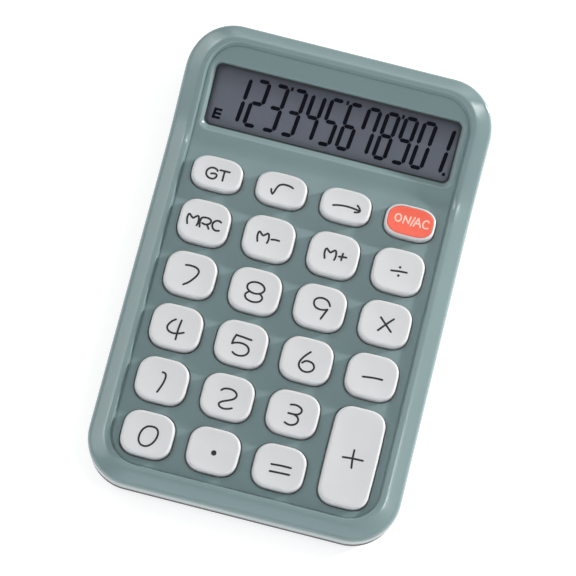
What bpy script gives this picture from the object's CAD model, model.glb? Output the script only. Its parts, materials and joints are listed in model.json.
"""Looks for the desk calculator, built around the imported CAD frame.

Blender works in metres. Lengths in the helpers are millimetres, which finish_mesh() turns into metres.
"""
import json
import math

import bmesh
import bpy
from mathutils import Matrix, Vector
from mathutils.geometry import delaunay_2d_cdt


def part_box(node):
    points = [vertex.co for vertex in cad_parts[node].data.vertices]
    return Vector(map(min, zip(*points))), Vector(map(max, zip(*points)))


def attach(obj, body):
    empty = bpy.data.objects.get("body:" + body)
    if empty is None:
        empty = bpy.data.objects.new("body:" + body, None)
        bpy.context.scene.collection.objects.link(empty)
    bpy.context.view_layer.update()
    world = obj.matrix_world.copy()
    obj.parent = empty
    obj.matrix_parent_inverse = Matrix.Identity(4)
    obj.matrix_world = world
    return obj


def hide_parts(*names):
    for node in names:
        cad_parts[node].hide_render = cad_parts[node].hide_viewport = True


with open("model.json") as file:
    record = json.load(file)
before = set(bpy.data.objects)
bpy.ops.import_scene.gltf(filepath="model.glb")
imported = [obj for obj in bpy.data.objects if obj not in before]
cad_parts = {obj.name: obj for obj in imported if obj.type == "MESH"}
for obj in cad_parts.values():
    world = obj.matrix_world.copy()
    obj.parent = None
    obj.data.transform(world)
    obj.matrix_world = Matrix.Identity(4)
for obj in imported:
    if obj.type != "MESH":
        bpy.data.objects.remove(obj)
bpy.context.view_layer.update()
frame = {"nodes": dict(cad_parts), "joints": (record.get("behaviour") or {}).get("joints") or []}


MM = 0.001

# The deck's tilt is the tilt of every key's axis
axis = next(j["axis"] for j in frame["joints"] if j["name"] == "key_7_press")
DECK = math.atan2(axis[1], -axis[2])
PANEL = DECK + math.radians(20)      # the panel's slope
DECK_Z = 15.5            # height of the deck over the middle of the case
BEND = 38.2              # where the panel starts, along the deck
BEND_R = 12.0            # radius of the bend between the deck and the panel
RIM_BEND_R = 40.0        # the rim bends more gently than the floor of the recess
CORNER_R = 15.5          # corners of the case in plan
WALL = 2.2               # side walls of the front shell
ROOF = 2.0               # thickness of its deck and panel
FLANGE = 0.9             # how far a key's flange reaches under the deck
GAP = 0.5                # between a key's side and its hole

# ---------------------------------------------------------------- frames

BEND_Y = BEND * math.cos(DECK)
BEND_Z = DECK_Z + BEND * math.sin(DECK)


def tilted(angle, y0, z0):
    """Two functions for a frame tilted about x at (y0, z0): one places a point, one boxes a CAD node."""
    c, s = math.cos(angle), math.sin(angle)

    def place(x, along, h):
        return Vector((x, y0 + along * c - h * s, z0 + along * s + h * c))

    def box(node):
        pts = []
        for v in frame["nodes"][node].data.vertices:
            x, y, z = v.co / MM
            y, z = y - y0, z - z0
            pts.append((x, y * c + z * s, z * c - y * s))
        return [min(p[i] for p in pts) for i in range(3)], [max(p[i] for p in pts) for i in range(3)]

    return place, box


from_deck, deck_box = tilted(DECK, 0, DECK_Z)
from_panel, panel_box = tilted(PANEL, BEND_Y, BEND_Z)


def bend_arc(r):
    """Centre of the bend's arc in section, as y and z, and the y at which the arc starts and ends."""
    s = BEND - r * math.tan((PANEL - DECK) / 2)
    y = s * math.cos(DECK) - r * math.sin(DECK)
    z = DECK_Z + s * math.sin(DECK) + r * math.cos(DECK)
    return y, z, y + r * math.sin(DECK), y + r * math.sin(PANEL)


def base(y, r):
    """Height and slope of the deck, the bend of radius r and the panel at plan position y."""
    arc_y, arc_z, start, end = bend_arc(r)
    if y <= start:
        return DECK_Z + y * math.tan(DECK), DECK
    if y >= end:
        return BEND_Z + (y - BEND_Y) * math.tan(PANEL), PANEL
    a = math.asin((y - arc_y) / r)
    return arc_z - r * math.cos(a), a


def over(x, y, h, r=BEND_R):
    """Point h above the deck or panel, measured square to it but placed straight above (x, y)."""
    z, a = base(y, r)
    return Vector((x, y, z + h / math.cos(a)))


# ---------------------------------------------------------------- mesh helpers

def add_ring(bm, points):
    return [bm.verts.new(p) for p in points]


def bridge(bm, a, b, mat=0):
    """Quads between two closed rings of the same count."""
    n = len(a)
    for i in range(n):
        j = (i + 1) % n
        f = bm.faces.new((a[i], a[j], b[j], b[i]))
        f.material_index = mat


def fan(bm, ring, centre, flip=False, mat=0):
    """Triangles between a closed ring and a point."""
    c = bm.verts.new(centre)
    n = len(ring)
    for i in range(n):
        j = (i + 1) % n
        f = bm.faces.new((ring[j], ring[i], c) if flip else (ring[i], ring[j], c))
        f.material_index = mat


def finish_mesh(bm, name, mats, body, sharp=38, weighted=True):
    """Turns the millimetre bmesh into an object in metres that rides on a body.

    Edges that turn by more than sharp degrees stay hard.
    """
    bmesh.ops.recalc_face_normals(bm, faces=bm.faces)
    bm.normal_update()
    for f in bm.faces:
        f.smooth = True
    limit = math.radians(sharp)
    for e in bm.edges:
        e.smooth = not (len(e.link_faces) == 2 and e.calc_face_angle(0) > limit)
    mesh = bpy.data.meshes.new(name)
    bm.to_mesh(mesh)
    bm.free()
    mesh.transform(Matrix.Scale(MM, 4))
    obj = bpy.data.objects.new(name, mesh)
    bpy.context.scene.collection.objects.link(obj)
    for m in mats:
        mesh.materials.append(m)
    if weighted:
        w = obj.modifiers.new("even_normals", "WEIGHTED_NORMAL")
        w.keep_sharp = True
    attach(obj, body)
    return obj


def inside(x, y, poly):
    """Whether a plan position lies inside a polygon."""
    hit = False
    n = len(poly)
    for i in range(n):
        (x0, y0), (x1, y1) = poly[i], poly[(i + 1) % n]
        if (y0 > y) != (y1 > y) and x < (x1 - x0) * (y - y0) / (y1 - y0) + x0:
            hit = not hit
    return hit


def fill(bm, outer, holes, height, up, cuts):
    """Web between an outer ring and hole rings of bmesh verts, triangulated in plan.

    cuts are edges that it must have, as pairs of places in the outer ring.
    """
    verts = list(outer)
    edges = [(i, (i + 1) % len(outer)) for i in range(len(outer))]
    for h in holes:
        k = len(verts)
        verts += h
        edges += [(k + i, k + (i + 1) % len(h)) for i in range(len(h))]
    edges += list(cuts)
    flat = [Vector((v.co.x, v.co.y)) for v in verts]
    out, _, faces, source, _, _ = delaunay_2d_cdt(flat, edges, [], 0, 1e-6, True)
    inner = [[(v.co.x, v.co.y) for v in h] for h in holes]
    rim = [(v.co.x, v.co.y) for v in outer]
    made = [verts[s[0]] if s else bm.verts.new(height(p.x, p.y)) for p, s in zip(out, source)]
    for f in faces:
        cx = sum(out[i].x for i in f) / len(f)
        cy = sum(out[i].y for i in f) / len(f)
        if not inside(cx, cy, rim) or any(inside(cx, cy, h) for h in inner):
            continue
        vs = [made[i] for i in f]
        bm.faces.new(vs if up else vs[::-1])


def softened(node, name, mats, body, width, spread=1.0):
    """Copy of a CAD solid with its edges of over 32 degrees rounded, made larger in plan by spread."""
    bm = bmesh.new()
    bm.from_mesh(frame["nodes"][node].data)
    bmesh.ops.scale(bm, vec=(1 / MM,) * 3, verts=bm.verts)
    bmesh.ops.remove_doubles(bm, verts=bm.verts, dist=1e-3)
    bmesh.ops.dissolve_limit(bm, angle_limit=math.radians(1.5), verts=bm.verts, edges=bm.edges)
    edges = [e for e in bm.edges if len(e.link_faces) == 2 and e.calc_face_angle(0) > math.radians(32)]
    bmesh.ops.bevel(bm, geom=edges, offset=width, offset_type="OFFSET", segments=3, profile=0.5,
                    affect="EDGES", clamp_overlap=True)
    bmesh.ops.scale(bm, vec=(spread, spread, 1), verts=bm.verts)
    obj = finish_mesh(bm, name, mats, body)
    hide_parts(node)


# ---------------------------------------------------------------- materials

def srgb(r, g, b):
    """Linear colour of an sRGB one given from 0 to 255."""
    def lin(c):
        c /= 255
        return c / 12.92 if c <= 0.04045 else ((c + 0.055) / 1.055) ** 2.4
    return (lin(r), lin(g), lin(b), 1)


def shade(colour, k):
    return tuple(min(1, c * k) for c in colour[:3]) + (1,)


def surface(name, colour, rough=(0.35, 0.5), vary=0.06, blotch=60, grain=2600, bump=0.05, depth=0.05,
            metallic=0.0, coat=0.0, specular=0.5, second=None, stretch=(1, 1, 1)):
    """Moulded or coated surface: blotchy colour, uneven roughness and a fine grain in relief.

    The colour varies by vary, or towards a second colour. blotch and grain are the scales of the two noises,
    per metre, and depth is the relief's in millimetres.
    """
    m = bpy.data.materials.new(name)
    m.use_nodes = True
    nt = m.node_tree
    p = nt.nodes["Principled BSDF"]
    at = nt.nodes.new("ShaderNodeTexCoord")
    mp = nt.nodes.new("ShaderNodeMapping")
    mp.inputs["Scale"].default_value = stretch
    nt.links.new(at.outputs["Object"], mp.inputs["Vector"])

    def noise(scale, detail, roughness=0.55):
        n = nt.nodes.new("ShaderNodeTexNoise")
        n.inputs["Scale"].default_value = scale
        n.inputs["Detail"].default_value = detail
        n.inputs["Roughness"].default_value = roughness
        nt.links.new(mp.outputs["Vector"], n.inputs["Vector"])
        return n

    big, fine = noise(blotch, 4), noise(grain, 2, 0.6)
    ramp = nt.nodes.new("ShaderNodeValToRGB")
    ramp.color_ramp.elements[0].position = 0.32
    ramp.color_ramp.elements[1].position = 0.68
    ramp.color_ramp.elements[0].color = shade(colour, 1 - vary)
    ramp.color_ramp.elements[1].color = second or shade(colour, 1 + vary * 0.6)
    nt.links.new(big.outputs["Fac"], ramp.inputs["Fac"])
    nt.links.new(ramp.outputs["Color"], p.inputs["Base Color"])

    # the roughness follows the mean of the two noises
    mix = nt.nodes.new("ShaderNodeMath")
    mix.operation = "MULTIPLY_ADD"
    mix.inputs[1].default_value = 0.5
    nt.links.new(fine.outputs["Fac"], mix.inputs[0])
    half = nt.nodes.new("ShaderNodeMath")
    half.operation = "MULTIPLY"
    half.inputs[1].default_value = 0.5
    nt.links.new(big.outputs["Fac"], half.inputs[0])
    nt.links.new(half.outputs[0], mix.inputs[2])
    to = nt.nodes.new("ShaderNodeMapRange")
    to.inputs["From Min"].default_value = 0.35
    to.inputs["From Max"].default_value = 0.65
    to.inputs["To Min"].default_value = rough[0]
    to.inputs["To Max"].default_value = rough[1]
    nt.links.new(mix.outputs[0], to.inputs["Value"])
    nt.links.new(to.outputs["Result"], p.inputs["Roughness"])

    b = nt.nodes.new("ShaderNodeBump")
    b.inputs["Strength"].default_value = bump
    b.inputs["Distance"].default_value = depth * MM
    nt.links.new(fine.outputs["Fac"], b.inputs["Height"])
    nt.links.new(b.outputs["Normal"], p.inputs["Normal"])
    p.inputs["Metallic"].default_value = metallic
    p.inputs["Coat Weight"].default_value = coat
    p.inputs["Coat Roughness"].default_value = 0.15
    p.inputs["Specular IOR Level"].default_value = specular
    return m


def banded(name, axis_name, stops, rough, low, high, coat=0.0):
    """A surface whose colour runs in bands along one axis, from low to high in metres, with uneven edges."""
    m = surface(name, stops[0][1], rough=rough, coat=coat)
    nt = m.node_tree
    p = nt.nodes["Principled BSDF"]
    at = next(n for n in nt.nodes if n.bl_idname == "ShaderNodeTexCoord")
    noise = next(n for n in nt.nodes if n.bl_idname == "ShaderNodeTexNoise")
    xyz = nt.nodes.new("ShaderNodeSeparateXYZ")
    nt.links.new(at.outputs["Object"], xyz.inputs["Vector"])
    to = nt.nodes.new("ShaderNodeMapRange")
    to.inputs["From Min"].default_value = low
    to.inputs["From Max"].default_value = high
    nt.links.new(xyz.outputs[axis_name], to.inputs["Value"])
    wobble = nt.nodes.new("ShaderNodeMath")
    wobble.operation = "MULTIPLY_ADD"
    wobble.inputs[1].default_value = 0.006
    nt.links.new(noise.outputs["Fac"], wobble.inputs[0])
    nt.links.new(to.outputs["Result"], wobble.inputs[2])
    ramp = nt.nodes.new("ShaderNodeValToRGB")
    r = ramp.color_ramp
    r.elements[0].position, r.elements[0].color = stops[0]
    r.elements[1].position, r.elements[1].color = stops[-1]
    for pos, col in stops[1:-1]:
        r.elements.new(pos).color = col
    nt.links.new(wobble.outputs[0], ramp.inputs["Fac"])
    nt.links.new(ramp.outputs["Color"], p.inputs["Base Color"])
    return m


def clear_pane(name):
    """Thin clear acrylic: lets light straight through and mirrors more at low angles."""
    m = bpy.data.materials.new(name)
    m.use_nodes = True
    nt = m.node_tree
    nt.nodes.remove(nt.nodes["Principled BSDF"])
    out = next(n for n in nt.nodes if n.bl_idname == "ShaderNodeOutputMaterial")
    at = nt.nodes.new("ShaderNodeTexCoord")
    haze = nt.nodes.new("ShaderNodeTexNoise")
    haze.inputs["Scale"].default_value = 90
    haze.inputs["Detail"].default_value = 5
    nt.links.new(at.outputs["Object"], haze.inputs["Vector"])
    ramp = nt.nodes.new("ShaderNodeValToRGB")
    ramp.color_ramp.elements[0].color = (0.02, 0.02, 0.02, 1)
    ramp.color_ramp.elements[1].color = (0.09, 0.09, 0.09, 1)
    nt.links.new(haze.outputs["Fac"], ramp.inputs["Fac"])
    through = nt.nodes.new("ShaderNodeBsdfTransparent")
    through.inputs["Color"].default_value = (0.95, 0.96, 0.97, 1)
    mirror = nt.nodes.new("ShaderNodeBsdfGlossy")
    mirror.inputs["Color"].default_value = (1, 1, 1, 1)
    nt.links.new(ramp.outputs["Color"], mirror.inputs["Roughness"])
    fres = nt.nodes.new("ShaderNodeFresnel")
    fres.inputs["IOR"].default_value = 1.12
    mix = nt.nodes.new("ShaderNodeMixShader")
    nt.links.new(fres.outputs["Fac"], mix.inputs["Fac"])
    nt.links.new(through.outputs[0], mix.inputs[1])
    nt.links.new(mirror.outputs[0], mix.inputs[2])
    nt.links.new(mix.outputs[0], out.inputs["Surface"])
    return m


case_green = surface("case_green", srgb(126, 145, 146), rough=(0.17, 0.23), vary=0.015, blotch=45,
                     grain=3000, bump=0.03, depth=0.03, coat=0.15)
case_dark = surface("case_dark", srgb(18, 25, 28), rough=(0.42, 0.56), vary=0.12, blotch=90, grain=2200,
                    bump=0.25)
key_ivory = surface("key_ivory", srgb(209, 208, 209), rough=(0.28, 0.36), vary=0.015, blotch=150, bump=0.04,
                    depth=0.03)
key_coral = surface("key_coral", srgb(240, 100, 78), rough=(0.36, 0.46), vary=0.03, blotch=150, bump=0.04,
                    depth=0.03)
print_dark = surface("print_dark", srgb(22, 22, 28), rough=(0.45, 0.6), vary=0.2, blotch=900, grain=6000)
print_pale = surface("print_pale", srgb(252, 196, 180), rough=(0.45, 0.6), vary=0.04, blotch=900, grain=6000)
lcd_marks = surface("lcd_marks", srgb(24, 22, 31), rough=(0.5, 0.6), vary=0.15, blotch=400, grain=5000,
                    specular=0.05)

# ---------------------------------------------------------------- front shell

# Stations along the sides, closest together in the bend, and along the ends
BEFORE_BEND = [-56, -48, -40, -30, -20, -10, 0, 10, 20, 26, 29, 31, 33]
BEND_STEPS = 8
_, _, arc_from, arc_to = bend_arc(BEND_R)
IN_BEND = [arc_from + (arc_to - arc_from) * i / BEND_STEPS for i in range(BEND_STEPS + 1)]
SIDE_Y = [*BEFORE_BEND, *IN_BEND, 42, 44, 46, 49, 53, 57]
END_X = [-30, -20, -10, 0, 10, 20, 30]
CORNER_STEPS = 18


def plan(hx, y0, y1, r):
    """Rounded rectangle in plan, counterclockwise, with the same vertex order whatever its size."""
    pts = []

    def arc(cx, cy, start):
        for i in range(1, CORNER_STEPS):
            a = math.radians(start + 90 * i / CORNER_STEPS)
            pts.append((cx + r * math.cos(a), cy + r * math.sin(a)))

    pts += [(hx, y) for y in [y0 + r, *SIDE_Y, y1 - r]]
    arc(hx - r, y1 - r, 0)
    pts += [(x, y1) for x in [hx - r, *END_X[::-1], r - hx]]
    arc(r - hx, y1 - r, 90)
    pts += [(-hx, y) for y in [y1 - r, *SIDE_Y[::-1], y0 + r]]
    arc(r - hx, y0 + r, 180)
    pts += [(x, y0) for x in [r - hx, *END_X, hx - r]]
    arc(hx - r, y0 + r, 270)
    return pts


# Place in plan()'s list of the left side's rearmost station
LEFT_SIDE = len(SIDE_Y) + 2 + (CORNER_STEPS - 1) + len(END_X) + 2 + (CORNER_STEPS - 1) + 1

lo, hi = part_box("front_case")
HALF, REAR, PART_Z = hi.x / MM, hi.y / MM, lo.z / MM
REAR_LEAN = 0.7          # how much further forward the rear wall is at the rim than at its foot

# Half width, front, rear and corner radius of the rim's outside, and of its foot in the recess
OUTER = (HALF, -REAR, REAR - REAR_LEAN, CORNER_R)
FOOT = (43.4, -68.9, 69.0, 10.0)


def wall_plan(inset):
    """Outline of the side walls, moved in by inset."""
    return plan(HALF - inset, inset - REAR, REAR - inset, CORNER_R - inset)


def between(q):
    """Outline a part q of the way from the rim's outside to its foot in the recess."""
    return plan(*[a + (b - a) * q for a, b in zip(OUTER, FOOT)])


# Section of the rim, from the straight side wall over the roll to the foot of the recess: how far in
# (0 at the outside, 1 at the foot) and how high over the deck
RIM = [
    (0.0, -4.6), (0.0, -1.9), (0.003, -1.3), (0.014, -0.75), (0.034, -0.3), (0.062, 0.04), (0.1, 0.28),
    (0.15, 0.46), (0.22, 0.63), (0.32, 0.86), (0.44, 1.13), (0.56, 1.39), (0.65, 1.57), (0.7, 1.635),
    (0.735, 1.655), (0.77, 1.66), (0.86, 1.66), (0.893, 1.65), (0.91, 1.6), (0.922, 1.48), (0.932, 1.22),
    (0.94, 0.9), (0.955, 0.45), (0.968, 0.1), (0.98, -0.1), (0.993, -0.16), (1.006, -0.1), (1.02, 0.0)
]
REAR_FALL, FALL_FROM = 0.13, 70      # slope at which the rim falls to the rear, and the y where it starts

# Sections of the openings: how far out, and how high over the deck or panel
KEY_HOLE = [(GAP + 0.12, 0), (GAP + 0.06, -0.02), (GAP + 0.02, -0.06), (GAP, -0.14), (GAP, -1.0),
            (GAP, -ROOF)]
KEY_HOLE_DARK = -0.14    # a key hole's wall is dark from here down
WINDOW_BEVEL = [(1.0, 0), (0.86, -0.03), (0.7, -0.12), (0.5, -0.34), (0.3, -0.66), (0.12, -1.04),
                (0.04, -1.24), (0.0, -1.4), (0.0, -1.7)]
BEVEL_SIDE, BEVEL_LOW, BEVEL_HIGH = 1.25, 2.1, 0.7      # its width at the sides, the front and the back
WINDOW_LIP = [(0.55, -1.98), (-0.2, -ROOF)]      # thin dark lip below it, by how far in it stands
WINDOW_R = 2.2           # corners of the window opening
WINDOW_STEPS = 10
HIDDEN_SIDE, HIDDEN_END = 1.7, 2     # how much of the pane lies under the panel
pane_lo, pane_hi = panel_box("display_window")
WINDOW_MID = (pane_lo[1] + pane_hi[1]) / 2
HALF_WIDE, HALF_LONG = (pane_hi[0] - pane_lo[0]) / 2 - HIDDEN_SIDE, (pane_hi[1] - pane_lo[1]) / 2 - HIDDEN_END


def window(g, inset=0.0):
    """Outline of the window opening. g runs from 0 at the opening to 1 at the outside of its bevel."""
    side, low, high = BEVEL_SIDE * g - inset, BEVEL_LOW * g - inset, BEVEL_HIGH * g - inset
    hx, y0, y1 = HALF_WIDE + side, WINDOW_MID - HALF_LONG - low, WINDOW_MID + HALF_LONG + high
    r = WINDOW_R + 0.9 * g
    corners = (hx - r, y1 - r, 0), (r - hx, y1 - r, 90), (r - hx, y0 + r, 180), (hx - r, y0 + r, 270)
    pts = []
    for cx, cy, start in corners:
        for i in range(WINDOW_STEPS + 1):
            ang = math.radians(start + 90 * i / WINDOW_STEPS)
            pts.append((cx + r * math.cos(ang), cy + r * math.sin(ang)))
    return pts


def add_hole(bm, outline, place, levels, dark_from=-math.inf):
    """Wall of an opening, dark from a level down. Returns its top and bottom rings."""
    rings = [add_ring(bm, [place(x, y, h) for x, y in outline(g)]) for g, h in levels]
    for a, b, (_, h) in zip(rings, rings[1:], levels):
        bridge(bm, a, b, mat=1 if h <= dark_from else 0)
    return rings[0], rings[-1]


KEYS = [n for n in frame["nodes"] if n.startswith("key_")]
KEY_R = 5.2, 4.7         # corners of a key along x and y ...
KEY_R_PART = 0.7, 0.72   # ... and the most that they may be of its half size
R_GROW = 0.8             # how fast they change as the outline moves out or in
KEY_CURVE = 2.25         # exponent of their superellipse
BULGE = 0.3              # of a key's sides
CURVE_STEPS, SIDE_STEPS = 12, 4


def key_outline(hx, hy, grow):
    """Squircle with slightly bulging sides. grow moves it outwards, or inwards if negative."""
    rx, ry = (min(r, part * half) + grow * R_GROW for r, part, half in zip(KEY_R, KEY_R_PART, (hx, hy)))
    hx, hy = hx + grow, hy + grow
    quarter = []
    for i in range(CURVE_STEPS + 1):
        a = math.pi / 2 * i / CURVE_STEPS
        x = hx - BULGE - rx + rx * math.cos(a) ** (2 / KEY_CURVE)
        y = hy - BULGE - ry + ry * math.sin(a) ** (2 / KEY_CURVE)
        quarter.append((x + BULGE * max(0, 1 - (y / hy) ** 2), y + BULGE * max(0, 1 - (x / hx) ** 2)))
    pts = []
    for sx, sy in ((1, 1), (-1, 1), (-1, -1), (1, -1)):
        q = quarter if sx * sy > 0 else quarter[::-1]
        pts += [(sx * x, sy * y) for x, y in q]
    # points along the sides, between the corners, keep the rings even
    out = []
    for i, p in enumerate(pts):
        out.append(p)
        if (i + 1) % (CURVE_STEPS + 1):
            continue
        nx = pts[(i + 1) % len(pts)]
        for j in range(1, SIDE_STEPS):
            u = j / SIDE_STEPS
            x, y = p[0] + (nx[0] - p[0]) * u, p[1] + (nx[1] - p[1]) * u
            if abs(p[0] - nx[0]) < abs(p[1] - nx[1]):
                x = math.copysign(hx - BULGE + BULGE * (1 - (y / hy) ** 2), x)
            else:
                y = math.copysign(hy - BULGE + BULGE * (1 - (x / hx) ** 2), y)
            out.append((x, y))
    return out


def key_place(node):
    """Centre and half size of a key's sides in the deck's frame."""
    a, b = deck_box(node)
    return ((a[0] + b[0]) / 2, (a[1] + b[1]) / 2), ((b[0] - a[0]) / 2 - FLANGE, (b[1] - a[1]) / 2 - FLANGE)


PLACES = {k: key_place(k) for k in KEYS}


def build_shell():
    """Front shell: outside from the parting line over the rim, openings, floor of the recess, and inside."""
    bm = bmesh.new()

    def wall_ring(inset, z):
        return add_ring(bm, [Vector((x, y, z)) for x, y in wall_plan(inset)])

    # a small rounding stands over the parting line
    parting = prev = wall_ring(0.3, PART_Z)
    for inset, z in ((0.08, PART_Z + 0.08), (0.0, PART_Z + 0.3)):
        ring = wall_ring(inset, z)
        bridge(bm, ring, prev)
        prev = ring
    for q, h in RIM:
        # the rim's gentle bend turns into the floor's on the way down into the recess
        r = BEND_R + (RIM_BEND_R - BEND_R) * min(1, max(0, (0.95 - q) / 0.2))
        ring = add_ring(bm, [over(x, y, h - REAR_FALL * max(0, y - FALL_FROM), r) for x, y in between(q)])
        bridge(bm, ring, prev)
        prev = ring
    foot = prev

    tops, lows = [], []
    for k in KEYS:
        (cx, cy), (hx, hy) = PLACES[k]
        top, low = add_hole(bm, lambda g: [(cx + x, cy + y) for x, y in key_outline(hx, hy, g)], from_deck,
                            KEY_HOLE, KEY_HOLE_DARK)
        tops.append(top)
        lows.append(low)

    top, low = add_hole(bm, window, from_panel, WINDOW_BEVEL)
    tops.append(top)
    lip, under = (add_ring(bm, [from_panel(x, y, h) for x, y in window(0, inset)]) for inset, h in WINDOW_LIP)
    bridge(bm, low, lip, mat=1)
    bridge(bm, lip, under, mat=1)
    lows.append(under)

    # edges across the floor at every step of the bend keep its curve smooth
    bend_from = len(BEFORE_BEND)
    cuts = [(1 + i, LEFT_SIDE + len(SIDE_Y) - 1 - i) for i in range(bend_from, bend_from + BEND_STEPS + 1)]
    fill(bm, foot, tops, lambda x, y: over(x, y, 0), True, cuts)

    # inside of the shell
    inner = wall_ring(WALL, PART_Z)
    roof = add_ring(bm, [over(x, y, -ROOF) for x, y in wall_plan(WALL)])
    bridge(bm, parting, inner)
    bridge(bm, inner, roof)
    fill(bm, roof, lows, lambda x, y: over(x, y, -ROOF), False, cuts)
    obj = finish_mesh(bm, "front_shell", [case_green, case_dark], "case", sharp=50)
    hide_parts("front_case")


build_shell()

# ---------------------------------------------------------------- keys and their printed marks

CREST = 0.66             # how far in from a key's sides its crest is
KEY_HIGH = 3.13          # height of the crest over the deck
DISH = 0.28              # depth of the dished top
DISH_RINGS = [0.94, 0.86, 0.74, 0.6, 0.45, 0.3, 0.15]

# Section of a key from its foot to its crest: how far in from its sides, and how high over the deck
KEY_FOOT = -3.4
SIDES = [(-FLANGE, KEY_FOOT), (-FLANGE, -2.1), (-0.15, -2.1), (-0.15, 0.3), (-0.11, 1.4), (-0.08, 2.1),
         (-0.05, 2.38), (0.02, 2.6), (0.14, 2.81), (0.3, 2.98), (0.47, 3.09), (CREST, KEY_HIGH)]
HOLLOW = [(1.4, KEY_FOOT), (1.4, 1.1), (1.9, 1.5)]

# The ON/AC key has a pocket in place of the dish, and its inlay has a section and a dish of its own
POCKET_FLOOR = 2.45
POCKET_SIDES = [*SIDES[:-1], (0.54, 3.1), (0.6, 3.08), (0.64, 3.02), (CREST, POCKET_FLOOR)]
INLAY_CREST, INLAY_HIGH, INLAY_DISH, INLAY_FOOT = 1.1, 3.1, 0.25, 2.46
INLAY_SIDES = [(0.7, INLAY_FOOT), (0.7, 2.92), (0.73, 3.0), (0.8, 3.06), (0.92, 3.09),
               (INLAY_CREST, INLAY_HIGH)]

# Printed marks
PRINT = 1                # their material's place on a key
MARK_WIDTH, ON_WIDTH = 0.64, 0.5
MARK_TOP, MARK_FOOT = 0.03, -0.02    # over the key's top
LIFT_STEP = 0.002        # each stroke's top is this much over the last one's, so that none coincide
CURVE_POINTS = 7         # between two given points of a stroke
CAP_STEPS = 6            # round a stroke's end


def dished(hx, hy, crest, high, dish):
    """Function for the height over the deck of a point on a dished top."""
    ring = key_outline(hx, hy, -crest)

    def height(x, y):
        r = math.hypot(x, y)
        if r < 1e-6:
            return high - dish
        a = math.atan2(y, x)
        for i, (x0, y0) in enumerate(ring):
            x1, y1 = ring[(i + 1) % len(ring)]
            a0, a1 = math.atan2(y0, x0), math.atan2(y1, x1)
            if a1 < a0:
                a1 += math.tau
            aa = a if a >= a0 else a + math.tau
            if a0 <= aa <= a1:
                u = (aa - a0) / max(1e-9, a1 - a0)
                edge = math.hypot(x0 + (x1 - x0) * u, y0 + (y1 - y0) * u)
                return high - dish * (1 - min(1, r / edge) ** 2)
        return high - dish

    return height


def smooth_line(points, closed):
    """Catmull-Rom curve through the points."""
    n = len(points)
    if n < 3:
        return points
    out = []
    for i in range(n if closed else n - 1):
        if closed:
            p0, p1, p2, p3 = (points[(i + k - 1) % n] for k in range(4))
        else:
            p1, p2 = points[i], points[i + 1]
            p0 = points[i - 1] if i else (2 * p1[0] - p2[0], 2 * p1[1] - p2[1])
            p3 = points[i + 2] if i + 2 < n else (2 * p2[0] - p1[0], 2 * p2[1] - p1[1])
        for j in range(CURVE_POINTS):
            t = j / CURVE_POINTS
            out.append(tuple(
                0.5 * (2 * p1[c] + (p2[c] - p0[c]) * t + (2 * p0[c] - 5 * p1[c] + 4 * p2[c] - p3[c]) * t * t
                       + (3 * p1[c] - p0[c] - 3 * p2[c] + p3[c]) * t ** 3) for c in (0, 1)))
    if not closed:
        out.append(points[-1])
    return out


def stroke(bm, points, width, place, height, lift, closed):
    """Printed line with round ends that follows the key's top."""
    line = smooth_line(points, closed)
    n = len(line)
    half = width / 2
    left, right = [], []
    for i, (x, y) in enumerate(line):
        a = line[(i - 1) % n] if closed or i else line[0]
        b = line[(i + 1) % n] if closed or i + 1 < n else line[-1]
        dx, dy = b[0] - a[0], b[1] - a[1]
        d = math.hypot(dx, dy) or 1
        nx, ny = -dy / d, dx / d
        left.append((x + nx * half, y + ny * half))
        right.append((x - nx * half, y - ny * half))

    def up(outline, h=lift):
        return add_ring(bm, [place(x, y, height(x, y) + h) for x, y in outline])

    if closed:
        rings = [up(left, MARK_FOOT), up(left), up(right), up(right, MARK_FOOT)]
        for a, b in zip(rings, rings[1:]):
            bridge(bm, a, b, PRINT)
        return

    def cap(centre, start):
        turns = [start + math.pi * j / CAP_STEPS for j in range(1, CAP_STEPS)]
        return [(centre[0] + half * math.cos(t), centre[1] + half * math.sin(t)) for t in turns]

    d0 = math.atan2(line[1][1] - line[0][1], line[1][0] - line[0][0])
    d1 = math.atan2(line[-1][1] - line[-2][1], line[-1][0] - line[-2][0])
    end, begin = cap(line[-1], d1 - math.pi / 2), cap(line[0], d0 + math.pi / 2)
    lv, rv, ev, bv = up(left), up(right), up(end), up(begin)
    made = [bm.faces.new((rv[i], rv[i + 1], lv[i + 1], lv[i])) for i in range(n - 1)]
    made.append(bm.faces.new([rv[-1], *ev, lv[-1]]))
    made.append(bm.faces.new([lv[0], *bv, rv[0]]))
    outline = [*rv, *ev, *lv[::-1], *bv]
    low = up([*right, *end, *left[::-1], *begin], MARK_FOOT)
    for i in range(len(outline)):
        j = (i + 1) % len(outline)
        made.append(bm.faces.new((outline[i], low[i], low[j], outline[j])))
    for f in made:
        f.material_index = PRINT


def closed_loop(cx, cy, rx, ry, count=16):
    """Points round an ellipse."""
    turns = [math.tau * i / count for i in range(count)]
    return [(cx + rx * math.cos(t), cy + ry * math.sin(t)) for t in turns]


def dot(bm, x, y, r, place, height):
    """Printed round dot."""
    ring = closed_loop(x, y, r, r, 20)
    top = add_ring(bm, [place(px, py, height(px, py) + MARK_TOP) for px, py in ring])
    low = add_ring(bm, [place(px, py, height(px, py) + MARK_FOOT) for px, py in ring])
    bridge(bm, top, low, PRINT)
    fan(bm, top, place(x, y, height(x, y) + MARK_TOP), mat=PRINT)


# The letter M in one stroke, from its lower left
M_SHAPE = [(0.0, -1.83), (-0.4, -0.33), (-0.34, 1.0), (0.06, 1.4), (0.73, 0.83), (1.4, 0.4), (2.06, 0.93),
           (2.66, 1.4), (3.1, 1.13), (3.33, 0.1), (3.3, -1.0), (3.1, -1.72)]


def m_at(x):
    return [(px + x, py) for px, py in M_SHAPE]


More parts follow.
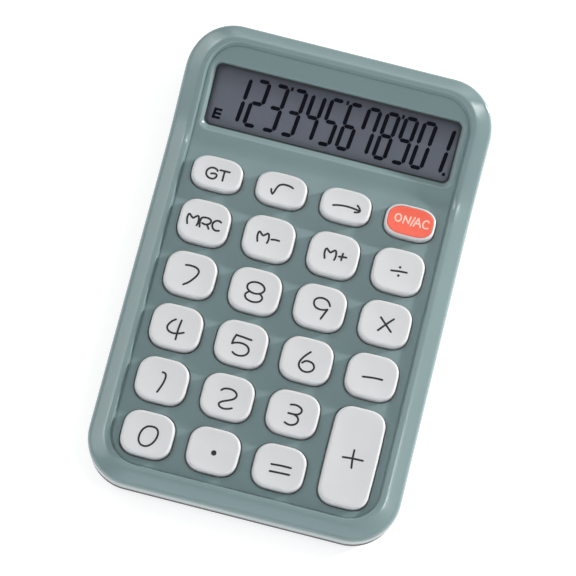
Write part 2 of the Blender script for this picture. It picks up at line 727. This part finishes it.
# Marks about each key's centre: open strokes, closed strokes, and dots by their centre and radius
MARKS = {
    "key_gt": {
        "lines": [
            [(-0.05, 0.77), (-0.57, 1.28), (-1.68, 1.5), (-2.79, 1.06), (-3.46, 0.06), (-3.39, -1.06),
             (-2.68, -1.88), (-1.57, -2.2), (-0.57, -1.94), (-0.01, -1.17), (-0.12, -0.5), (-0.9, -0.28),
             (-1.9, -0.57)],
            [(0.72, 1.24), (2.3, 1.28), (3.88, 1.28)],
            [(2.21, 1.24), (2.2, -0.4), (2.21, -2.06)],
        ],
    },
    "key_root": {
        "lines": [
            [(-3.23, -0.68), (-2.98, -1.55), (-2.5, -2.2)],
            [(-2.5, -2.2), (-2.08, -1.3), (-1.67, 0.02), (-0.97, 1.19), (0.2, 1.72), (1.6, 1.77),
             (2.77, 1.58), (3.51, 1.26)],
        ],
    },
    "key_backspace": {
        "lines": [
            [(-4.05, -0.85), (-2.77, -0.5), (-0.9, -0.22), (0.97, -0.17), (2.83, -0.34), (4.8, -0.68)],
            [(3.65, 0.95), (4.35, 0.3), (4.85, -0.62), (4.3, -1.2), (3.25, -1.46)],
        ],
    },
    "key_mrc": {
        "lines": [
            m_at(-5.2),
            [(-1.07, -1.93), (-1.33, -0.5), (-1.2, 0.85), (-0.5, 1.4), (0.83, 1.5), (1.83, 1.17),
             (2.12, 0.4), (1.6, -0.35), (0.5, -0.72), (-0.55, -0.55)],
            [(0.95, -0.6), (1.45, -1.2), (1.9, -1.93)],
            [(5.35, 1.1), (4.6, 1.42), (3.7, 1.3), (2.95, 0.6), (2.78, -0.4), (3.25, -1.4), (4.2, -1.9),
             (5.3, -1.7)],
        ],
    },
    "key_m_minus": {"lines": [m_at(-3.33), [(0.9, -0.23), (2.17, -0.03), (3.43, -0.07)]]},
    "key_m_plus": {
        "lines": [
            m_at(-2.5),
            [(1.83, -0.23), (3.0, -0.1), (4.27, 0.0)],
            [(2.93, 1.0), (2.88, -0.1), (2.83, -1.23)],
        ],
    },
    "key_divide": {
        "lines": [
            [(-2.23, -0.4), (0.33, -0.07), (2.83, 0.07)],
        ],
        "dots": [(0.33, 1.27, 0.42), (0.4, -1.5, 0.42)],
    },
    "key_7": {
        "lines": [
            [(-2.1, 2.57), (-0.67, 2.73), (1.0, 2.6), (2.07, 2.07), (2.5, 1.17), (2.07, -0.17),
             (0.93, -1.83), (-0.17, -3.0), (-1.33, -3.83)],
        ],
    },
    "key_8": {
        "lines": [
            [(-1.67, -0.73), (-2.45, -1.35), (-2.77, -2.23), (-2.0, -3.33), (0, -3.83), (2.0, -3.33),
             (2.81, -2.23), (2.5, -1.35), (1.67, -0.73)],
        ],
        "loops": [
            closed_loop(0.03, 0.87, 2.83, 1.87),
        ],
    },
    "key_9": {
        "lines": [
            [(3.0, 1.0), (2.5, 1.93), (1.5, 2.73), (0, 3.0), (-1.33, 2.67), (-2.17, 1.83), (-2.17, 0.67),
             (-1.5, -0.33), (-0.17, -0.77), (1.33, -0.67), (2.5, -0.27)],
            [(2.5, -0.27), (1.83, -1.85), (1.07, -3.73)],
        ],
    },
    "key_multiply": {
        "lines": [
            [(-1.77, 1.6), (0.3, -0.35), (2.4, -2.27)],
            [(2.4, 2.0), (0.25, -0.35), (-1.73, -2.77)],
        ],
    },
    "key_4": {
        "lines": [
            [(-0.67, 2.33), (-1.67, 1.5), (-2.5, 0.33), (-2.73, -0.83), (-2.0, -1.83), (-0.5, -2.23),
             (1.33, -1.9), (2.83, -1.27)],
            [(1.2, 2.43), (0.85, -0.67), (0.83, -4.0)],
        ],
    },
    "key_5": {
        "lines": [
            [(-2.17, 2.23), (0.33, 2.07), (2.9, 1.77)],
            [(-2.17, 2.33), (-2.67, 0.83), (-2.9, -0.67)],
            [(-2.9, -0.72), (-1.67, -0.17), (0, 0.07), (1.67, -0.27), (2.67, -1.17), (2.83, -2.33),
             (2.0, -3.5), (0.33, -4.07), (-1.17, -3.9), (-2.07, -3.4)],
        ],
    },
    "key_6": {
        "lines": [
            [(0.67, 2.77), (-0.5, 1.5), (-1.57, 0), (-2.07, -1.33), (-1.83, -2.67), (-0.67, -3.67),
             (0.83, -3.83), (2.33, -3.17), (2.9, -2.0), (2.33, -0.83), (1.17, -0.33), (-0.17, -0.4),
             (-1.17, -1.23)],
        ],
    },
    "key_minus": {"lines": [[(-2.83, -0.77), (-0.33, -0.43), (1.33, -0.3), (3.4, -0.27)]]},
    "key_1": {
        "lines": [
            [(-0.4, 2.5), (0.33, 2.4), (0.83, 1.83), (0.9, 0.67), (0.6, -1.0), (0, -2.83), (-0.5, -4.07)],
        ],
    },
    "key_2": {
        "lines": [
            [(-2.4, 1.6), (-1.67, 2.23), (-0.33, 2.57), (1.33, 2.43), (2.5, 1.67), (2.73, 0.67),
             (2.0, -0.33), (0.33, -1.17), (-1.17, -1.83), (-2.07, -2.67), (-1.67, -3.6), (-0.33, -4.0),
             (1.17, -3.73), (2.27, -3.27)],
        ],
    },
    "key_3": {
        "lines": [
            [(-1.4, 2.57), (0, 2.8), (1.5, 2.5), (2.4, 1.77), (2.4, 0.83), (1.5, 0), (0, -0.23),
             (-1.5, -0.23)],
            [(0.33, -0.23), (1.5, -0.73), (2.07, -1.67), (1.83, -2.83), (0.83, -3.6), (-0.5, -3.83),
             (-1.93, -3.4)],
        ],
    },
    "key_plus": {
        "lines": [
            [(-2.83, -0.7), (0.33, -0.4), (3.6, -0.33)],
            [(0.2, 2.33), (0.27, -0.5), (0.63, -3.4)],
        ],
    },
    "key_0": {
        "loops": [
            [(1.0, 2.6), (-0.5, 2.3), (-1.7, 1.2), (-2.33, -0.5), (-2.3, -2.3), (-1.5, -3.6), (-0.17, -4.0),
             (1.3, -3.5), (2.5, -2.1), (3.15, -0.3), (3.1, 1.3), (2.3, 2.35)],
        ],
    },
    "key_point": {"dots": [(0.33, -0.67, 0.85)]},
    "key_equals": {
        "lines": [
            [(-2.67, 0.43), (0.5, 0.67), (3.6, 0.67)],
            [(-2.67, -1.83), (0.5, -1.67), (3.6, -1.57)],
        ],
    },
}

# Marks on the ON/AC key's inlay
ON_MARKS = {
    "lines": [
        [(-2.28, -0.9), (-2.1, 0.4), (-1.98, 1.55)],
        [(-1.98, 1.55), (-1.3, 0.5), (-0.5, -0.6)],
        [(-0.5, -0.6), (-0.3, 0.5), (-0.15, 1.6)],
        [(0.28, -1.15), (0.75, 0.3), (1.2, 1.75)],
        [(1.2, -1.05), (1.8, 0.4), (2.4, 1.75)],
        [(2.4, 1.75), (2.95, 0.3), (3.5, -1.05)],
        [(1.65, 0.0), (3.1, 0.0)],
        [(5.95, 1.25), (5.2, 1.62), (4.45, 1.2), (4.1, 0.3), (4.35, -0.6), (5.1, -0.98), (5.95, -0.75)],
    ],
    "loops": [
        closed_loop(-4.1, 0.45, 0.98, 1.2),
    ],
}


def add_marks(bm, marks, width, place, height):
    """Printed marks on a top whose height over the deck is height(x, y)."""
    lift = MARK_TOP
    for kind in ("lines", "loops"):
        for points in marks.get(kind, []):
            stroke(bm, points, width, place, height, lift, closed=kind == "loops")
            lift += LIFT_STEP
    for x, y, r in marks.get("dots", []):
        dot(bm, x, y, r, place, height)


def about_key(bm, node):
    """Two functions: one places a point about a key's centre, one adds the key's outline, moved in and up."""
    (cx, cy), (hx, hy) = PLACES[node]

    def place(x, y, h):
        return from_deck(cx + x, cy + y, h)

    def ring(inset, h):
        return add_ring(bm, [place(x, y, h) for x, y in key_outline(hx, hy, -inset)])

    return place, ring


def add_dish(bm, prev, outline, place, high, dish):
    """Dished top inside the ring of a crest."""
    for s in DISH_RINGS:
        ring = add_ring(bm, [place(x * s, y * s, high - dish * (1 - s * s)) for x, y in outline])
        bridge(bm, ring, prev)
        prev = ring
    fan(bm, prev, place(0, 0, high - dish))


def build_key(node):
    """Hollow key cap with a flange, a dished top and printed marks."""
    half = PLACES[node][1]
    bm = bmesh.new()
    place, ring = about_key(bm, node)
    inlaid = node == "key_on_ac"
    rings = [ring(*s) for s in (POCKET_SIDES if inlaid else SIDES)]
    for a, b in zip(rings, rings[1:]):
        bridge(bm, b, a)
    if inlaid:
        fan(bm, rings[-1], place(0, 0, POCKET_FLOOR))
    else:
        add_dish(bm, rings[-1], key_outline(*half, -CREST), place, KEY_HIGH, DISH)
    inner = [ring(*s) for s in HOLLOW]
    bridge(bm, rings[0], inner[0])
    for a, b in zip(inner, inner[1:]):
        bridge(bm, a, b)
    fan(bm, inner[-1], place(0, 0, HOLLOW[-1][1]), flip=True)
    mats = [key_ivory]
    if node in MARKS:
        mats.append(print_dark)
        add_marks(bm, MARKS[node], MARK_WIDTH, place, dished(*half, CREST, KEY_HIGH, DISH))
    obj = finish_mesh(bm, node.replace("key_", "cap_"), mats, node + "_body", weighted=False)
    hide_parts(node)


for k in KEYS:
    build_key(k)


def build_on_inlay():
    """Coral inlay in the ON/AC key's pocket, with its marks."""
    half = PLACES["key_on_ac"][1]
    bm = bmesh.new()
    place, ring = about_key(bm, "key_on_ac")
    rings = [ring(*s) for s in INLAY_SIDES]
    for a, b in zip(rings, rings[1:]):
        bridge(bm, b, a)
    add_dish(bm, rings[-1], key_outline(*half, -INLAY_CREST), place, INLAY_HIGH, INLAY_DISH)
    fan(bm, rings[0], place(0, 0, INLAY_FOOT), flip=True)
    add_marks(bm, ON_MARKS, ON_WIDTH, place, dished(*half, INLAY_CREST, INLAY_HIGH, INLAY_DISH))
    obj = finish_mesh(bm, "coral_inlay", [key_coral, print_pale], "key_on_ac_body",
                      weighted=False)
    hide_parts("on_ac_cap")


build_on_inlay()

# ---------------------------------------------------------------- lower shell and door

# The lower shell is a little larger in plan, so that its dark line shows under the rim
softened("back_case", "lower_shell", [case_dark], "case", width=0.35, spread=1.011)
softened("battery_door", "door_panel", [case_dark], "door", width=0.3)

# ---------------------------------------------------------------- materials of the kept CAD nodes

lcd_lo, lcd_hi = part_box("lcd_panel")
lcd_glass = banded("lcd_glass", "Y", [(0.0, srgb(128, 129, 137)), (0.55, srgb(122, 123, 132)),
                                      (0.85, srgb(100, 100, 107)), (1.0, srgb(74, 73, 76))],
                   rough=(0.5, 0.6), low=lcd_lo.y, high=lcd_hi.y)
lcd_glass.node_tree.nodes["Principled BSDF"].inputs["Specular IOR Level"].default_value = 0.1
cell_lo, cell_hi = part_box("battery")
cell = banded("cell_wrap", "X", [(0.0, srgb(150, 150, 152)), (0.03, srgb(45, 70, 96)),
                                 (0.7, srgb(52, 84, 112)), (0.74, srgb(196, 150, 70)),
                                 (0.95, srgb(190, 140, 60)), (1.0, srgb(190, 190, 190))],
              rough=(0.18, 0.3), coat=0.4, low=cell_lo.x, high=cell_hi.x)
leads = banded("lead_sleeve", "X", [(0.0, srgb(28, 28, 30)), (0.49, srgb(28, 28, 30)),
                                    (0.51, srgb(150, 26, 24)), (1.0, srgb(160, 30, 26))],
               rough=(0.35, 0.5), low=-0.03, high=0.03)
metal = surface("contact_metal", srgb(196, 194, 188), rough=(0.2, 0.36), vary=0.08, blotch=300, grain=1800,
                bump=0.1, metallic=1.0, stretch=(1, 6, 1))
screw = surface("screw_steel", srgb(186, 188, 190), rough=(0.22, 0.4), vary=0.1, blotch=500, grain=2400,
                bump=0.12, metallic=1.0)
KEPT = {
    "display_window": clear_pane("window_clear"),
    "lcd_panel": lcd_glass,
    "lcd_segments": lcd_marks,
    "lcd_reflector": surface("reflector", srgb(190, 190, 190), rough=(0.3, 0.45), metallic=0.8, blotch=200),
    "lcd_bracket": surface("tray_plastic", srgb(58, 58, 60), rough=(0.45, 0.6), vary=0.12, bump=0.3),
    "lcd_ribbon": surface("ribbon", srgb(196, 140, 66), rough=(0.25, 0.4), vary=0.12, blotch=260,
                          stretch=(14, 1, 1)),
    "circuit_board": surface("board_green", srgb(24, 96, 58), rough=(0.3, 0.5), blotch=260, bump=0.2,
                             vary=0.25, second=srgb(48, 124, 74), stretch=(1, 3, 1)),
    "controller_chip": surface("chip_black", srgb(26, 26, 28), rough=(0.5, 0.7), vary=0.2, blotch=700,
                               bump=0.3),
    "board_components": surface("component_tan", srgb(188, 164, 124), vary=0.18, blotch=400),
    "contact_pads": surface("carbon_pads", srgb(36, 36, 38), rough=(0.55, 0.75), vary=0.2, blotch=900,
                            bump=0.3),
    "contact_pills": surface("carbon_pills", srgb(30, 30, 31), rough=(0.55, 0.75), vary=0.2, blotch=900,
                             bump=0.3),
    "keypad_sheet": surface("silicone", srgb(206, 206, 202), rough=(0.5, 0.65), vary=0.05, blotch=200,
                            bump=0.1),
    "battery": cell,
    "battery_spring": metal,
    "battery_plate": metal,
    "battery_leads": leads,
    "case_screws": screw,
    "board_screws": screw,
    "bracket_screws": screw,
    "rubber_feet": surface("foot_rubber", srgb(30, 30, 31), rough=(0.65, 0.85), vary=0.2, blotch=400,
                           bump=0.4),
}
for node, material in KEPT.items():
    data = frame["nodes"][node].data
    data.materials.clear()
    data.materials.append(material)

# ---------------------------------------------------------------- floor, light and camera

scene = bpy.context.scene
bpy.ops.mesh.primitive_plane_add(size=8, location=(0, 0, 0))
floor = bpy.context.object
floor.name = "floor"
FLOOR_GLOW = 0.72        # lifts the floor to the photo's plain white
pale = surface("floor_pale", (0.42, 0.42, 0.42, 1), rough=(0.6, 0.75), vary=0.004, blotch=3, grain=400,
               bump=0.01, specular=0.2)
pale.node_tree.nodes["Principled BSDF"].inputs["Emission Color"].default_value = (1, 1, 1, 1)
pale.node_tree.nodes["Principled BSDF"].inputs["Emission Strength"].default_value = FLOOR_GLOW
floor.data.materials.append(pale)

# The studio is bright at the horizon and dark overhead: height of a direction, from 0 to 1, and brightness
STUDIO = ((0.12, 1.15), (0.3, 0.95), (0.62, 0.1))
world = bpy.data.worlds.new("studio")
scene.world = world
world.use_nodes = True
tree = world.node_tree
way = tree.nodes.new("ShaderNodeTexCoord")
parts = tree.nodes.new("ShaderNodeSeparateXYZ")
fade = tree.nodes.new("ShaderNodeValToRGB")
tree.links.new(way.outputs["Generated"], parts.inputs[0])
tree.links.new(parts.outputs["Z"], fade.inputs["Fac"])
tree.links.new(fade.outputs["Color"], tree.nodes["Background"].inputs["Color"])
fade.color_ramp.interpolation = "EASE"
fade.color_ramp.elements.new(STUDIO[1][0])
for e, (height, v) in zip(fade.color_ramp.elements, STUDIO):
    e.position = height
    e.color = (v * 0.985, v * 0.995, v, 1)


AIM = Vector((0, 0, 0.01))       # what the lights face


def softbox(name, where, size, power, colour):
    """Rectangular light. size is in metres and power in watts."""
    data = bpy.data.lights.new(name, "AREA")
    data.shape = "RECTANGLE"
    data.size, data.size_y = size
    data.energy = power
    data.color = colour
    lamp = bpy.data.objects.new(name, data)
    scene.collection.objects.link(lamp)
    lamp.location = where
    lamp.rotation_euler = (AIM - Vector(where)).to_track_quat("-Z", "Y").to_euler()


softbox("key_light", (0.9, 0.515, 0.325), (0.05, 0.05), 12.2, (1, 0.99, 0.97))
softbox("left_box", (-0.6, 0.05, 0.92), (0.8, 0.44), 2.75, (0.95, 1, 1))
softbox("right_box", (0.6, 0.05, 0.92), (0.8, 0.4), 0.15, (0.94, 0.98, 1))
softbox("back_box", (0.05, 0.5, 1.07), (0.8, 0.34), 1.75, (0.97, 1, 1))
softbox("front_box", (0.05, -0.69, 0.87), (0.8, 0.34), 1.4, (0.78, 0.92, 1))
softbox("low_box", (0.0, -1.05, 0.42), (1.2, 0.4), 1.0, (0.86, 0.95, 1))
softbox("right_glint", (0.55, 0.0, 1.07), (0.2, 0.2), 1.6, (1, 1, 1))
softbox("left_glint", (-0.55, -0.02, 1.07), (0.2, 0.2), 0.6, (1, 1, 1))

# The camera's direction, roll and distance fit the photo's key centres and outline
AZ, EL, ROLL, FAR = math.radians(4.6212), math.radians(74.8522), math.radians(9.7363), 0.767629
LOOK_AT = Vector((-0.000756, -0.002337, 0.0176))
cam_data = bpy.data.cameras.new("camera")
cam = bpy.data.objects.new("camera", cam_data)
scene.collection.objects.link(cam)
cam_data.lens = 150
cam_data.sensor_width = 36
cam_data.clip_start = 0.01
cam_data.clip_end = 50
back = Vector((math.sin(AZ) * math.cos(EL), -math.cos(AZ) * math.cos(EL), math.sin(EL)))
level_x = Vector((0, 0, 1)).cross(back).normalized()
level_y = back.cross(level_x)
right_axis = math.cos(ROLL) * level_x + math.sin(ROLL) * level_y
up_axis = -math.sin(ROLL) * level_x + math.cos(ROLL) * level_y
turn = Matrix((right_axis, up_axis, back)).transposed().to_4x4()
cam.matrix_world = Matrix.Translation(LOOK_AT + back * FAR) @ turn
scene.camera = cam
scene.view_settings.view_transform = "Standard"

bpy.context.view_layer.update()
